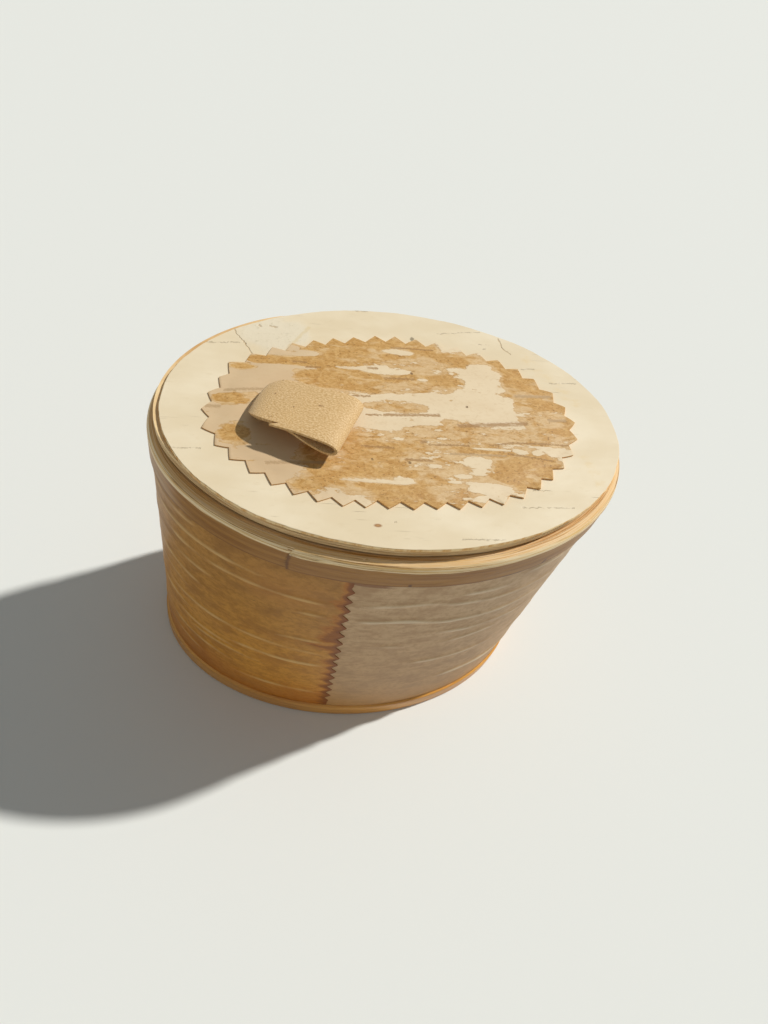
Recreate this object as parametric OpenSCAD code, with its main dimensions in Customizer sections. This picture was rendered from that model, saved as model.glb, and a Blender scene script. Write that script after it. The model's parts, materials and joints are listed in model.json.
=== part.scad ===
// Oval birch bark box with a lift-off lid.
// The walls are two bark sheets wrapped round an oval board. A band finishes
// the rim and a hoop the foot. The lid is a board faced with bark, with a ring
// below that plugs the mouth, a pinked oval of bark glued on top and a pull
// loop folded from one leather strip, whose ends go through a slot.
// Millimetres. The origin is the middle of the underside, +X the long way.

/* [Oval] */
// Length of the lid's top sheet; every other oval is this one moved in or out
lid_length = 140; // [125:1:170]
// Width of the lid's top sheet
lid_width = 90; // [80:1:110]

/* [Walls] */
// Height of the rim above the floor
rim_height = 124; // [100:1:160]
// How far the outer sheet's face stands out from the lid's edge
wall_stand_out = 2.4; // [2:0.1:3]
// Thickness of the outer bark sheet
outer_sheet = 1.5; // [1:0.1:1.8]
// Thickness of the inner bark sheet
inner_sheet = 1.6; // [1.4:0.1:2.2]
// Thickness of the board in the bottom
base_thickness = 6; // [4:0.5:10]

/* [Lap seam of the outer sheet] */
// Where the seam's teeth end, in degrees round from +X
seam_angle = 261.5; // [230:0.5:300]
// How far the lapped end stands proud
seam_step = 0.6; // [0.3:0.1:0.8]
// Degrees over which the lapped end rises
seam_ramp = 22; // [12:1:30]
// Height of one pinked tooth
seam_pitch = 6.15; // [4:0.05:9]
// Depth of the teeth
seam_depth = 2.6; // [1.5:0.1:4]

/* [Rim band] */
// Height of the band
band_height = 11.4; // [8:0.2:18]
// Thickness of the band
band_thickness = 0.8; // [0.6:0.1:1.4]
// Radius of the worn shoulder that crosses the plies at the rim
shoulder_radius = 2.8; // [2.4:0.1:3]
// Where the band's end laps over itself, in degrees
band_lap_angle = 243.5; // [200:0.5:255]
// How far the band's lapped end stands proud
band_step = 0.35; // [0.2:0.05:0.5]

/* [Foot hoop] */
// Height of the hoop
hoop_height = 8; // [6:0.5:12]
// Thickness of the hoop
hoop_thickness = 1; // [0.8:0.1:1.6]

/* [Lid] */
// Thickness of the bark sheet on top
top_sheet = 1.2; // [0.8:0.1:2]
// Thickness of the board and of the strip round its edge
core_thickness = 3.2; // [2.6:0.1:6]
// Thickness of the strip round the board's edge
edge_strip = 1; // [0.6:0.1:2]
// How far the top sheet overhangs that strip
sheet_overhang = 0.4; // [0:0.1:1]
// Gap between the rim and the lid's underside
lid_gap = 0.2; // [0.1:0.05:0.4]
// Thickness of the bark sheet that lines the underside
lining = 0.8; // [0.6:0.1:1.5]
// Depth of the ring that plugs the mouth
plug_depth = 12; // [8:0.5:20]
// Thickness of that ring
plug_thickness = 1.5; // [1:0.1:2.5]
// Gap between that ring and the inner sheet
plug_clearance = 0.4; // [0.3:0.05:0.8]

/* [Pinked oval on the lid] */
// Length over the teeth
applique_length = 114; // [105:0.5:118]
// Width over the teeth
applique_width = 66.2; // [60:0.2:72]
// Thickness of its bark
applique_sheet = 0.8; // [0.6:0.1:2]
// Degrees by which it is turned on the lid
applique_turn = 2; // [-4:0.5:4]
// Number of teeth
applique_teeth = 43; // [30:1:60]
// Depth of the teeth
applique_depth = 2.5; // [2:0.1:4]

/* [Pull loop] */
// Thickness of the leather strip
strip = 1.1; // [0.8:0.05:1.2]
// Width of the strip at the fold
strip_width = 20; // [17:0.5:22]
// Width of its ends where they go through the slot
tail_width = 16; // [12:0.5:17]
// Length of the loop from the slot to the fold
loop_reach = 25.2; // [20:0.2:28]
// Height of the loop's turning axis above the pinked oval
axis_height = 3.9; // [3.8:0.05:4.4]
// Gap between the loop's bend and the pinked oval
bend_gap = 0.3; // [0.2:0.05:0.5]
// Distance of the slot's middle from the left end of the lid
slot_inset = 31.2; // [28:0.1:40]
// Middle of the slot along Y
slot_y = -0.5; // [-6:0.1:4]
// Direction in which the loop leans, in degrees from +X
loop_lean = -26; // [-40:1:-10]
// Length of each tail under the board
tail_length = 10; // [6:0.5:14]
// Gap round the tails in their slot
slot_clearance = 0.1; // [0.05:0.05:0.2]

/* [Hidden] */

oval_points = 96;          // corners of every oval
through = 1;               // how far a cutter runs past what it cuts
lap_join = 0.2;            // degrees between a lap's end and the sheet below it
flap_root = 0.4;           // how far the raised flap reaches into its sheet
flap_steps = 12;           // corners along the flap
hoop_round = 0.8;          // rounding of the hoop's edges
arc_steps = 5;             // corners of a rounded edge
first_tip = 2.4;           // length of pinked edge from its long axis to a tip
applique_x = -0.9;         // the pinked oval was glued slightly off the middle
applique_y = -0.6;

// offsets of the plies' faces from the lid's edge, outwards positive
outer_face = wall_stand_out;
between_sheets = outer_face - outer_sheet;
inner_face = between_sheets - inner_sheet;
band_face = outer_face + band_thickness;
hoop_face = outer_face + hoop_thickness;
plug_face = inner_face - plug_clearance;
strip_face = -sheet_overhang;
core_face = strip_face - edge_strip;

slot_x = slot_inset - lid_length / 2;

// heights of the lid's layers
band_foot = rim_height - band_height;
core_foot = rim_height + lid_gap;
sheet_foot = core_foot + core_thickness;
applique_foot = sheet_foot + top_sheet;
lid_top = applique_foot + applique_sheet;
shoulder_foot = rim_height - shoulder_radius;

// the loop's bend and fold, as seen along its width
near_bend = axis_height - bend_gap - strip / 2;
far_pressed = 0.45;        // share of the bend that is left at the far edge
far_bend = near_bend * far_pressed;
fold_slack = 0.82;         // bend of the fold's middle line, in strip thicknesses
fold_radius = strip * fold_slack;
bend_end = 0.3;            // how far past the slot the bend runs on
near_fold_height = 6.4;
far_fold_height = 6.2;
crown = 0.9;               // rise of the upper layer between bend and fold
width_stations = 4;        // panels across the strip

// ---- ovals ---------------------------------------------------------------

// Point of the lid's oval at angle a, moved out along the oval's normal
function oval_point(a, out) =
    let (half = [lid_length / 2, lid_width / 2],
         across = [cos(a) / half.x, sin(a) / half.y])
    [half.x * cos(a), half.y * sin(a)] + out * across / norm(across);

function oval(out) = [for (i = [0 : oval_points - 1]) oval_point(360 * i / oval_points, out)];

module oval_plate(out, thickness) linear_extrude(thickness) polygon(oval(out));

module oval_wall(outside, inside, height)
    difference() {
        oval_plate(outside, height);
        translate([0, 0, -through]) oval_plate(inside, height + 2 * through);
    }

// A ring that sweeps the profile, [outwards, height] pairs, once round the
// oval. Its end laps over its start: profile points on the outer side rise by
// step over the last ramp degrees.
module oval_hoop(profile, start = 0, step = 0, ramp = 16, inside = 0) {
    pitch = 360 / oval_points;
    first = floor(start / pitch) * pitch;
    last = start + 360 - lap_join;
    // the oval's own corners, so that the hoop fits the wall, and the lap's end
    turns = concat([start],
                   [for (i = [1 : oval_points]) let (a = first + i * pitch) if (a < last) a],
                   [last]);
    around = len(turns);
    count = len(profile);
    rise = [for (a = turns) step * max(0, (a - start - 360 + ramp) / ramp)];
    corners = [for (i = [0 : around - 1], p = profile)
        let (q = oval_point(turns[i], p.x + (p.x > inside ? rise[i] : 0)))
        [q.x, q.y, p.y]];
    polyhedron(corners, [for (i = [0 : around - 1], j = [0 : count - 1], half = [0, 1])
        let (a = i * count, b = (i + 1) % around * count, k = (j + 1) % count)
        half == 0 ? [a + j, a + k, b + k] : [a + j, b + k, b + j]]);
}

// ---- box -----------------------------------------------------------------

module base_board() color("#c9a36c") oval_plate(inner_face, base_thickness);

module inner_wall() color("#e3cda4") oval_wall(between_sheets, inner_face, rim_height);

// Height of the worn shoulder where it crosses a ply
function shoulder_at(out) =
    shoulder_foot + sqrt(shoulder_radius ^ 2 - max(0, out - band_face + shoulder_radius) ^ 2);

outer_sheet_top = shoulder_at(outer_face - outer_sheet / 2);

// The raised end of the outer sheet, seen from above, from where it starts to
// rise to the tips of its teeth
function flap_outline() =
    let (first = seam_angle - seam_ramp, step = seam_ramp / flap_steps)
    concat([for (i = [0 : flap_steps])
                oval_point(first + i * step, outer_face + seam_step * i / flap_steps)],
           [for (i = [flap_steps : -1 : 0])
                oval_point(first + i * step, outer_face - flap_root)]);

// What lies beyond the pinked edge, as a plate across the seam
module beyond_teeth() {
    foot = hoop_height - through;
    teeth = ceil((band_foot - hoop_height) / seam_pitch) + 1;
    tip = oval_point(seam_angle, outer_face);
    away = oval_point(seam_angle, outer_face + 1) - tip;
    translate([tip.x, tip.y, 0]) rotate([0, 0, atan2(away.y, away.x) - 90])
        rotate([90, 0, 0]) translate([0, 0, -4 * seam_step]) linear_extrude(8 * seam_step)
            polygon(concat([for (i = [0 : teeth]) each
                                [[0, foot + i * seam_pitch],
                                 [seam_depth, foot + (i + 0.5) * seam_pitch]]],
                           [[-2 * seam_depth, foot + (teeth + 1) * seam_pitch],
                            [-2 * seam_depth, foot]]));
}

module outer_wall() color("#b98d56") {
    oval_wall(outer_face, between_sheets, outer_sheet_top);
    difference() {
        translate([0, 0, hoop_height]) linear_extrude(band_foot - hoop_height)
            polygon(flap_outline());
        beyond_teeth();
    }
}

module rim_band() color("#b8905e")
    oval_hoop(concat([[outer_face, band_foot], [band_face, band_foot]],
                     [for (i = [0 : arc_steps])
                         let (out = band_face - band_thickness * i / arc_steps)
                         [out, shoulder_at(out)]]),
              start = band_lap_angle, step = band_step, inside = outer_face);

module foot_hoop() color("#b9772c")
    oval_hoop(concat([[outer_face, 0], [hoop_face - hoop_round / 2, 0]],
                     [[hoop_face, hoop_round]],
                     [for (i = [0 : arc_steps])
                         let (a = 90 * i / arc_steps, top = hoop_height - hoop_round)
                         [hoop_face - hoop_round * (1 - cos(a)), top + hoop_round * sin(a)]],
                     [[outer_face, hoop_height]]));

// ---- lid -----------------------------------------------------------------

// Puts what is drawn about the slot, the loop's way along +X, on the lid
module at_slot(height) translate([slot_x, slot_y, height]) rotate([0, 0, loop_lean]) children();

// The two thicknesses of strip that fill the slot, with a margin all round
module in_slot(margin, foot, top) at_slot(foot)
    translate([-strip - margin, -tail_width / 2 - margin, 0])
        cube([2 * (strip + margin), tail_width + 2 * margin, top - foot]);

// The tails under the board, spread away from the slot
module spread_tails(margin, foot, top) at_slot(foot)
    translate([-strip - tail_length - margin, -tail_width / 2 - margin, 0])
        cube([2 * (strip + tail_length + margin), tail_width + 2 * margin, top - foot]);

module lid_core() color("#c39a63") difference() {
    translate([0, 0, core_foot]) oval_plate(core_face, core_thickness);
    in_slot(slot_clearance, core_foot - through, sheet_foot + through);
    spread_tails(slot_clearance, core_foot - through, core_foot + strip);
}

module lid_edge_strip() color("#a9713a")
    translate([0, 0, core_foot]) oval_wall(strip_face, core_face, core_thickness);

module lid_top_sheet() color("#e8d8ba") difference() {
    translate([0, 0, sheet_foot]) oval_plate(0, top_sheet);
    in_slot(slot_clearance, sheet_foot - through, applique_foot + through);
}

module plug_ring() color("#d9bf92") translate([0, 0, core_foot - plug_depth])
    oval_wall(plug_face, plug_face - plug_thickness, plug_depth);

module lid_lining() color("#dfc79c")
    translate([0, 0, core_foot - lining]) oval_plate(plug_face - plug_thickness, lining);

// Corner of the pinked oval at share s of the way round, moved in by depth.
// Equal shares are equal lengths of the cut edge, as pinking shears leave them.
applique_half = [applique_length / 2, applique_width / 2];
function on_applique(a) = [applique_half.x * cos(a), applique_half.y * sin(a)];
edge_lengths = [for (a = 0, sum = 0; a <= 360;
                     sum = sum + norm(on_applique(a + 1) - on_applique(a)), a = a + 1) [sum, a]];
edge_total = edge_lengths[360][0];
function applique_corner(s, depth) =
    let (a = lookup(s * edge_total % edge_total, edge_lengths),
         across = [cos(a) / applique_half.x, sin(a) / applique_half.y])
    on_applique(a) - depth * across / norm(across);

module pinked_applique() color("#c79a5a") difference() {
    translate([applique_x, applique_y, applique_foot]) rotate([0, 0, applique_turn])
        linear_extrude(applique_sheet) polygon([for (i = [0 : applique_teeth - 1]) each
            [applique_corner(first_tip / edge_total + i / applique_teeth, 0),
             applique_corner(first_tip / edge_total + (i + 0.5) / applique_teeth, applique_depth)]]);
    in_slot(slot_clearance, applique_foot - through, lid_top + through);
}

module strip_tails() color("#c79f66") {
    in_slot(0, core_foot, lid_top);
    spread_tails(0, core_foot, core_foot + strip);
}

// ---- pull loop -----------------------------------------------------------

function mix(a, b, share) = a + (b - a) * share;

// Middle line of the strip at share t of its width, from one end at the slot
// round the bend, over to the fold and back to the slot: [along, height, width]
function loop_line(t) =
    let (bend = mix(near_bend, far_bend, t),
         foot = bend_gap + strip / 2,
         middle = foot + bend,
         fold = mix(near_fold_height, far_fold_height, t),
         fold_at = loop_reach - fold_radius - strip / 2,
         over_from = [bend_end, middle + bend],
         over_to = [fold_at, fold + fold_radius],
         back_from = [fold_at, fold - fold_radius],
         back_to = [strip, foot])
    concat(
        [for (a = [-90 : -20 : -250])
            [bend * cos(a), middle + bend * sin(a), mix(tail_width, strip_width, min(1, (-90 - a) / 90))]],
        [for (i = [0 : 5]) let (s = i / 6, p = mix(over_from, over_to, s))
            [p.x, p.y + crown * 4 * s * (1 - s), strip_width]],
        [for (a = [80 : -32 : -80])
            [fold_at + fold_radius * cos(a), fold + fold_radius * sin(a), strip_width]],
        [for (i = [1 : 5]) let (s = i / 5, p = mix(back_from, back_to, s))
            [p.x, p.y, mix(strip_width, tail_width, s)]]);

// Corner k of the strip at share t of its width, on the side given by +1 or -1
function loop_corner(line, k, t, side) =
    let (last = len(line) - 1,
         before = line[max(0, k - 1)], after = line[min(last, k + 1)],
         along = [after.x - before.x, after.y - before.y],
         square = [-along.y, along.x] / norm(along) * strip / 2 * side)
    [line[k].x + square.x, (t - 0.5) * line[k].z, line[k].y + square.y];

module pull_loop() color("#d2ac74") {
    shares = [for (j = [0 : width_stations]) j / width_stations];
    lines = [for (t = shares) loop_line(t)];
    length = len(lines[0]);
    row = 2 * (width_stations + 1);
    corners = [for (k = [0 : length - 1], side = [1, -1], j = [0 : width_stations])
        loop_corner(lines[j], k, shares[j], side)];
    // the corners of one ring, in order round the strip's section
    ring = concat([for (j = [0 : width_stations]) j],
                  [for (j = [width_stations : -1 : 0]) width_stations + 1 + j]);
    sides = [for (k = [0 : length - 2], m = [0 : row - 1], half = [0, 1])
        let (a = k * row, b = a + row, p = ring[m], q = ring[(m + 1) % row])
        half == 0 ? [a + p, a + q, b + q] : [a + p, b + q, b + p]];
    last = (length - 1) * row;
    ends = [for (j = [0 : width_stations - 1], half = [0, 1]) each
        let (over = width_stations + 1)
        half == 0 ? [[j, j + over, j + 1], [last + j, last + j + 1, last + j + over]]
                  : [[j + 1, j + over, j + 1 + over],
                     [last + j + 1, last + j + 1 + over, last + j + over]]];
    at_slot(lid_top) polyhedron(corners, concat(sides, ends));
}

base_board();
inner_wall();
outer_wall();
rim_band();
foot_hoop();
lid_core();
lid_edge_strip();
lid_top_sheet();
plug_ring();
lid_lining();
pinked_applique();
strip_tails();
pull_loop();
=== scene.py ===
# %% [markdown]
# # An oval birch bark box
#
# The box is made of bark sheets: two wrapped round an oval board, a band round
# the rim, a hoop round the foot, and a lid that is faced with bark. Bark bends
# one way only, so almost every piece is modelled as it is made at the bench:
# cut flat, then bent round the oval.
#
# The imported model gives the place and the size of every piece, and nothing here
# moves or resizes it. What only shows, such as welts and wear, is sized here.

# %% Load the frame
import bisect
import json
import math
import random

import bmesh
import bpy
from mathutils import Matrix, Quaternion, Vector, noise
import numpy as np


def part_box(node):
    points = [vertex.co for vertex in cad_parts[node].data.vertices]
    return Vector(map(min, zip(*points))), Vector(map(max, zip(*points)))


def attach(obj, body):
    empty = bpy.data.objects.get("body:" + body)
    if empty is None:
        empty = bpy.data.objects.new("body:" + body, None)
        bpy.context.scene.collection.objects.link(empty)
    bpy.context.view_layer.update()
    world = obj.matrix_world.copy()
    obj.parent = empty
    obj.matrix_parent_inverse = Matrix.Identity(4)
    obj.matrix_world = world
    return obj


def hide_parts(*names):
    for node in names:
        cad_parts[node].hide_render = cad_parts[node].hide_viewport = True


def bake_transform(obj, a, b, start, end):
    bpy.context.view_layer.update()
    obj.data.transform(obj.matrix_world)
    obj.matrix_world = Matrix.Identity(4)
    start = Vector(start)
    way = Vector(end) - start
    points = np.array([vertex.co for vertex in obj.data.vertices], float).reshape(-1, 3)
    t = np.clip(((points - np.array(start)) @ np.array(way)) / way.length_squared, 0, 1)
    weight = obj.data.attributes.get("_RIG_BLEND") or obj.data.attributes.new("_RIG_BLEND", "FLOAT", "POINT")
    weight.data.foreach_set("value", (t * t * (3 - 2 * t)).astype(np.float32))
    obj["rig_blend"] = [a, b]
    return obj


MM = 0.001
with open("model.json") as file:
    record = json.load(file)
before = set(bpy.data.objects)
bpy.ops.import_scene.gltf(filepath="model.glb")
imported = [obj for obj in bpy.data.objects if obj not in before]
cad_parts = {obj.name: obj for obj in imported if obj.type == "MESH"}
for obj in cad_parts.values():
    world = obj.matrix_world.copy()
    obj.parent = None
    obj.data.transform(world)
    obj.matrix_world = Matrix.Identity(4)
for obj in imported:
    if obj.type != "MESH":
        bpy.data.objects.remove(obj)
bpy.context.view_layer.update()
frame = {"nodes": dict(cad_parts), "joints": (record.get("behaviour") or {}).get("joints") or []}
print("nodes:", ", ".join(sorted(frame["nodes"])))


def add(name, data):
    """Puts a new object in the scene."""
    made = bpy.data.objects.new(name, data)
    bpy.context.scene.collection.objects.link(made)
    return made


# %% [markdown]
# ## The camera
#
# A phone held close above the box: a wide lens, looking down steeply and
# turned a little on its axis. The wide lens is what makes the straight walls
# look drawn in towards the foot, so the lens and the distance have to be the
# photograph's own, or every proportion is wrong.

# %% Camera
EYE = Vector((-45.5, -144.8, 300.0)) * MM
AIM = Vector((22.1, 49.9, 0.0)) * MM
ROLL = math.radians(18.87)
LENS = 26.75

camera = add("camera", bpy.data.cameras.new("camera"))
camera.data.lens = LENS
camera.data.clip_start = 0.01
camera.location = EYE
camera.rotation_mode = "QUATERNION"
camera.rotation_quaternion = (AIM - EYE).to_track_quat("-Z", "Y") @ Quaternion((0, 0, 1), ROLL)
bpy.context.scene.camera = camera

# %% [markdown]
# ## Sizes from the frame
#
# Every ring on the box is the lid's oval moved outwards or inwards. So each
# piece needs only how far it stands out from the lid's edge, and its heights.

# %% Sizes
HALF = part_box("lid_top_sheet")[1].xy


def stand_out(node):
    """How far a node stands out from the lid's edge."""
    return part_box(node)[1].x - HALF.x


def heights(node):
    """A node's lowest and highest z."""
    low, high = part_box(node)
    return low.z, high.z


HOOP, BAND = 1.0 * MM, 0.8 * MM
HOOP_FACE = stand_out("foot_hoop")
OUTER_FACE = HOOP_FACE - HOOP
BETWEEN = stand_out("inner_wall")
INNER_FACE = stand_out("base_board")
BAND_FACE = OUTER_FACE + BAND
RIM_TOP = heights("inner_wall")[1]
BAND_FOOT = heights("rim_band")[0]
HOOP_TOP = heights("foot_hoop")[1]
OVAL_FOOT, LID_TOP = heights("pinked_applique")
print(f"rim {RIM_TOP / MM:.1f} mm high, lid {2 * HALF.x / MM:.0f} x {2 * HALF.y / MM:.0f} mm")

# %% [markdown]
# ## Bending things round the oval
#
# `oval_point` gives a point of the oval and moves it along the oval's normal,
# so a bent sheet keeps its thickness all round. Bark is cut by length, so a
# table turns a length of edge into the angle where it ends.

# %% The oval
TURN = 2 * math.pi


def oval_point(angle, out=0.0, half=HALF):
    """Point of an oval at that angle, moved out along the normal."""
    point = Vector((half.x * math.cos(angle), half.y * math.sin(angle)))
    across = Vector((math.cos(angle) / half.x, math.sin(angle) / half.y)).normalized()
    return point + across * out


class Edge:
    """Lengths along an oval's edge, from +X round to the left."""

    STEPS = 1440

    def __init__(self, half):
        points = [oval_point(TURN * i / self.STEPS, 0, half) for i in range(self.STEPS + 1)]
        self.length = [0.0]
        for a, b in zip(points, points[1:]):
            self.length.append(self.length[-1] + (b - a).length)
        self.total = self.length[-1]

    def at(self, angle):
        """Length of edge from +X to an angle below one turn."""
        place = angle / TURN * self.STEPS
        i = int(place)
        return self.length[i] + (self.length[i + 1] - self.length[i]) * (place - i)

    def angle(self, length):
        """Angle at a length of edge from +X."""
        rest = length % self.total
        i = min(bisect.bisect_right(self.length, rest), self.STEPS) - 1
        share = (rest - self.length[i]) / (self.length[i + 1] - self.length[i])
        return (i + share) / self.STEPS * TURN


edge = Edge(HALF)
print(f"the lid's edge is {edge.total / MM:.0f} mm long")


def smooth(value, low, high):
    """0 below low, 1 above high and an easy curve between."""
    share = min(1.0, max(0.0, (value - low) / (high - low)))
    return share * share * (3 - 2 * share)


def through(points, place):
    """Height of a smooth line through (place, height) points."""
    if place <= points[0][0]:
        return points[0][1]
    for (a, low), (b, high) in zip(points, points[1:]):
        if place <= b:
            return low + (high - low) * smooth(place, a, b)
    return points[-1][1]


NOISE_START = (17.3, 5.1, 9.7)


def wander(x, y=0.0, z=0.0):
    """Smooth random height from -1 to 1, the same on every run."""
    return noise.noise([a + b for a, b in zip((x, y, z), NOISE_START)])


# %% [markdown]
# A strip of bark starts as a flat grid, front and back, with the length of the
# strip along x, its height along y and its thickness along z. It keeps its flat
# lengths as a UV map, so that a bark pattern runs round the box without a break.

# %% Strips
JOIN_GAP = 0.02 * MM
UV_BACK = 0.25 * MM


def flat_strip(columns, rows, cut_away=None):
    """A two-sided sheet: x and y from 0 to 1, z 0 in front and -1 behind."""
    bm = bmesh.new()
    bmesh.ops.create_grid(bm, x_segments=columns, y_segments=rows, size=0.5)
    bmesh.ops.translate(bm, vec=(0.5, 0.5, 0), verts=bm.verts)
    if cut_away:
        cut = [f for f in bm.faces if cut_away(*f.calc_center_median().xy)]
        bmesh.ops.delete(bm, geom=cut, context="FACES")
    grown = bmesh.ops.extrude_face_region(bm, geom=bm.faces[:])["geom"]
    behind = [g for g in grown if isinstance(g, bmesh.types.BMVert)]
    bmesh.ops.translate(bm, vec=(0, 0, -1), verts=behind)
    return bm


def write_uv(bm, width, height):
    """Keeps the flat strip's lengths, in metres, as its UV map."""
    layer = bm.loops.layers.uv.new("bark")
    for face in bm.faces:
        for loop in face.loops:
            x, y, z = loop.vert.co
            loop[layer].uv = (x * width, y * height - z * UV_BACK)


def bend_strip(bm, first, last, section):
    """Bends a flat strip round the oval, between two lengths of edge.

    section(length, share of height, behind) gives how far out a corner lies,
    its height, and how far it is drawn back along the edge."""
    out_layer = bm.verts.layers.float.new("out")
    for v in bm.verts:
        length = first + (last - first) * v.co.x
        out, z, drawn = section(length, v.co.y, v.co.z < -0.5)
        flat = oval_point(edge.angle(length - drawn), out)
        v[out_layer] = out / MM
        v.co = (flat.x, flat.y, z)


def piece(bm, name, body, node, crease=35):
    """Makes the mesh an object that rides on a body and stands for a node."""
    bmesh.ops.recalc_face_normals(bm, faces=bm.faces)
    mesh = bpy.data.meshes.new(name)
    bm.to_mesh(mesh)
    bm.free()
    mesh.shade_smooth()
    mesh.set_sharp_from_angle(angle=math.radians(crease))
    made = add(name, mesh)
    if body:
        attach(made, body)
    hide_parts(node)
    print(f"{name}: {len(mesh.polygons)} faces")
    return made


def wrap(name, section, start, grid, height, body, node, lap=-JOIN_GAP, crease=35):
    """Makes a strip that goes once round the oval, and on by its lap."""
    bm = flat_strip(*grid)
    write_uv(bm, edge.total + lap, height)
    bend_strip(bm, start, start + edge.total + lap, section)
    return piece(bm, name, body, node, crease)


# %% [markdown]
# ## The outer sheet
#
# One sheet of bark goes once round and its end laps over its start, at the
# front of the box. The end is cut with pinking shears. Pale welts run along
# the grain, which on bark lies round the tree, so they go round the box. The
# ones in front follow the photograph; the others come from a seeded draw.
#
# The grid's rows are an eighth of a tooth apart, so that each tooth's tip and
# root falls on a row and stays sharp.

# %% Welts and teeth of the outer sheet
SHEET = OUTER_FACE - BETWEEN
SHOULDER = 2.8 * MM
SEAM = edge.at(math.radians(261.5))
SEAM_LEAN, SEAM_MIDDLE = 0.042, 80 * MM
TOOTH_PITCH = 6.15 * MM
TOOTH_DEPTH = 2.3 * MM
TOOTH_START, TOOTH_UNEVEN = 0.4, 0.2
FIRST_TOOTH_FOOT, LAST_TOOTH_TOP = 15 * MM, 106 * MM
FIRST_FADE, LAST_FADE = 4 * MM, 3 * MM
PLAIN_EDGE = 0.4
PINKED_REACH = 9 * MM
ROWS_PER_TOOTH = 8
WALL_COLUMNS, WALL_ROWS = 268, 161
LAP_RISE = 0.14 * MM
LAP_RAMP = 20 * MM
LAP_END = 0.22 * MM
LAP_UNDER, LAP_TUCK = 5 * MM, 0.35 * MM
SHEET_WAVE, RIM_WEAR = 0.18 * MM, 0.12 * MM
WELT_HEIGHT = 0.5 * MM
WELT_WIDTH, WELT_REACH = 1.25, 3
# From past its end to inside it, in mm, a welt rises
WELT_END = (-3, 6)

# Each welt: (mm from the sheet's start, height in mm) points along it
WELTS = [
    ((1, 97), (10, 98.4), (21, 100), (33, 97.6), (48, 95.2), (70, 93.5)),
    ((1, 86.6), (17, 88), (33, 85), (48, 83.8), (75, 82.6)),
    ((10, 67.8), (21, 67.4)), ((34, 66.8), (55, 67.3)), ((28, 76.5), (45, 74.5), (66, 73)),
    ((25, 51), (60, 50.5)), ((40, 30), (75, 28)), ((50, 108), (85, 106)), ((30, 104), (48, 103)),
    ((297, 101.2), (325, 101.8), (341, 101.6)), ((303, 93.2), (330, 94.6), (360, 95.2)),
    ((305, 85), (323, 85.6)), ((348, 86.4), (360, 86.9)), ((343, 66), (352, 67), (361, 68)),
    ((300, 57.4), (331, 58.4), (361, 58.2)), ((329, 46.8), (363, 47.9)),
    ((303, 42.3), (331, 42.7)), ((311, 38), (343, 38.8)), ((331, 21.2), (364, 21.9)),
    ((300, 31), (330, 29.8)), ((290, 108), (318, 108.6)), ((295, 76), (318, 75)),
    ((292, 66), (312, 66.5)), ((297, 50), (313, 50.4)), ((300, 22), (318, 21)),
]
MEASURED = len(WELTS)
DRAWN, DRAWN_STRENGTH = 34, 0.6
DRAWN_FROM, DRAWN_APART = 70, 6.9
DRAWN_LOW, DRAWN_HIGH = 16, 106
draw = random.Random(7)
for k in range(DRAWN):
    middle = DRAWN_FROM + DRAWN_APART * k + draw.uniform(-8, 8)
    z = DRAWN_LOW + draw.random() * (DRAWN_HIGH - DRAWN_LOW)
    reach, tilt = draw.uniform(12, 34), draw.uniform(-1.5, 1.5)
    WELTS.append(((middle - reach, z - tilt), (middle, z), (middle + reach, z + tilt)))

welts_on = {}


def welts_at(length):
    """The welts that cross a place on the sheet, as (height, strength)."""
    place = (length - SEAM) / MM
    key = round(place, 2)
    if key not in welts_on:
        welts_on[key] = []
        for k, points in enumerate(WELTS):
            inside = min(place - points[0][0], points[-1][0] - place)
            if inside > WELT_END[0]:
                uneven = 0.75 + 0.45 * wander(place * 0.12, k * 3.1)
                uneven *= 1 if k < MEASURED else DRAWN_STRENGTH
                z = through(points, place) + 0.5 * wander(place * 0.09, k * 1.7)
                welts_on[key].append((z, smooth(inside, *WELT_END) * uneven))
    return welts_on[key]


def welt_height(length, z):
    """Height, from 0 to about 1, of the welts at a place on the sheet."""
    return sum(strength * math.exp(-(((z / MM - middle) / WELT_WIDTH) ** 2))
               for middle, strength in welts_at(length) if abs(z / MM - middle) < WELT_REACH)


def tooth(z):
    """0 at the tip of a pinked tooth and 1 at its root."""
    place = z / TOOTH_PITCH + TOOTH_START
    number = math.floor(place)
    return abs(2 * (place - number) - 1) * (1 + TOOTH_UNEVEN * wander(number * 3.7))


def shoulder_at(out):
    """Height of the worn rim where it crosses a ply."""
    beyond = max(0.0, out - BAND_FACE + SHOULDER)
    return RIM_TOP - SHOULDER + math.sqrt(max(0.0, SHOULDER**2 - beyond**2))


# %% [markdown]
# Glue has stained the bark beside the seam. How far it reaches at each height
# is written on the corners, and the finish makes its edge ragged.

# %% Outer sheet
# (height, reach), both in mm
STAIN = ((0, 6), (12, 6.5), (18, 4.5), (45, 4.5), (60, 5), (67, 8), (80, 7.5), (87, 6), (96, 5),
         (110, 4), (124, 4))
WALL_HIGH = WALL_ROWS * TOOTH_PITCH / ROWS_PER_TOOTH
first, last = SEAM - LAP_UNDER, SEAM + edge.total


def seam_drawn(length, z):
    """How far the sheet's end is drawn back, which cuts its teeth."""
    if length <= last - PINKED_REACH:
        return 0.0
    teeth = smooth(z, FIRST_TOOTH_FOOT - FIRST_FADE, FIRST_TOOTH_FOOT)
    teeth *= smooth(LAST_TOOTH_TOP + LAST_FADE - z, 0, LAST_FADE)
    drawn = TOOTH_DEPTH * (tooth(z) * teeth + PLAIN_EDGE * (1 - teeth)) + SEAM_LEAN * (z - SEAM_MIDDLE)
    return drawn * smooth(length, last - PINKED_REACH, last)


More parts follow.
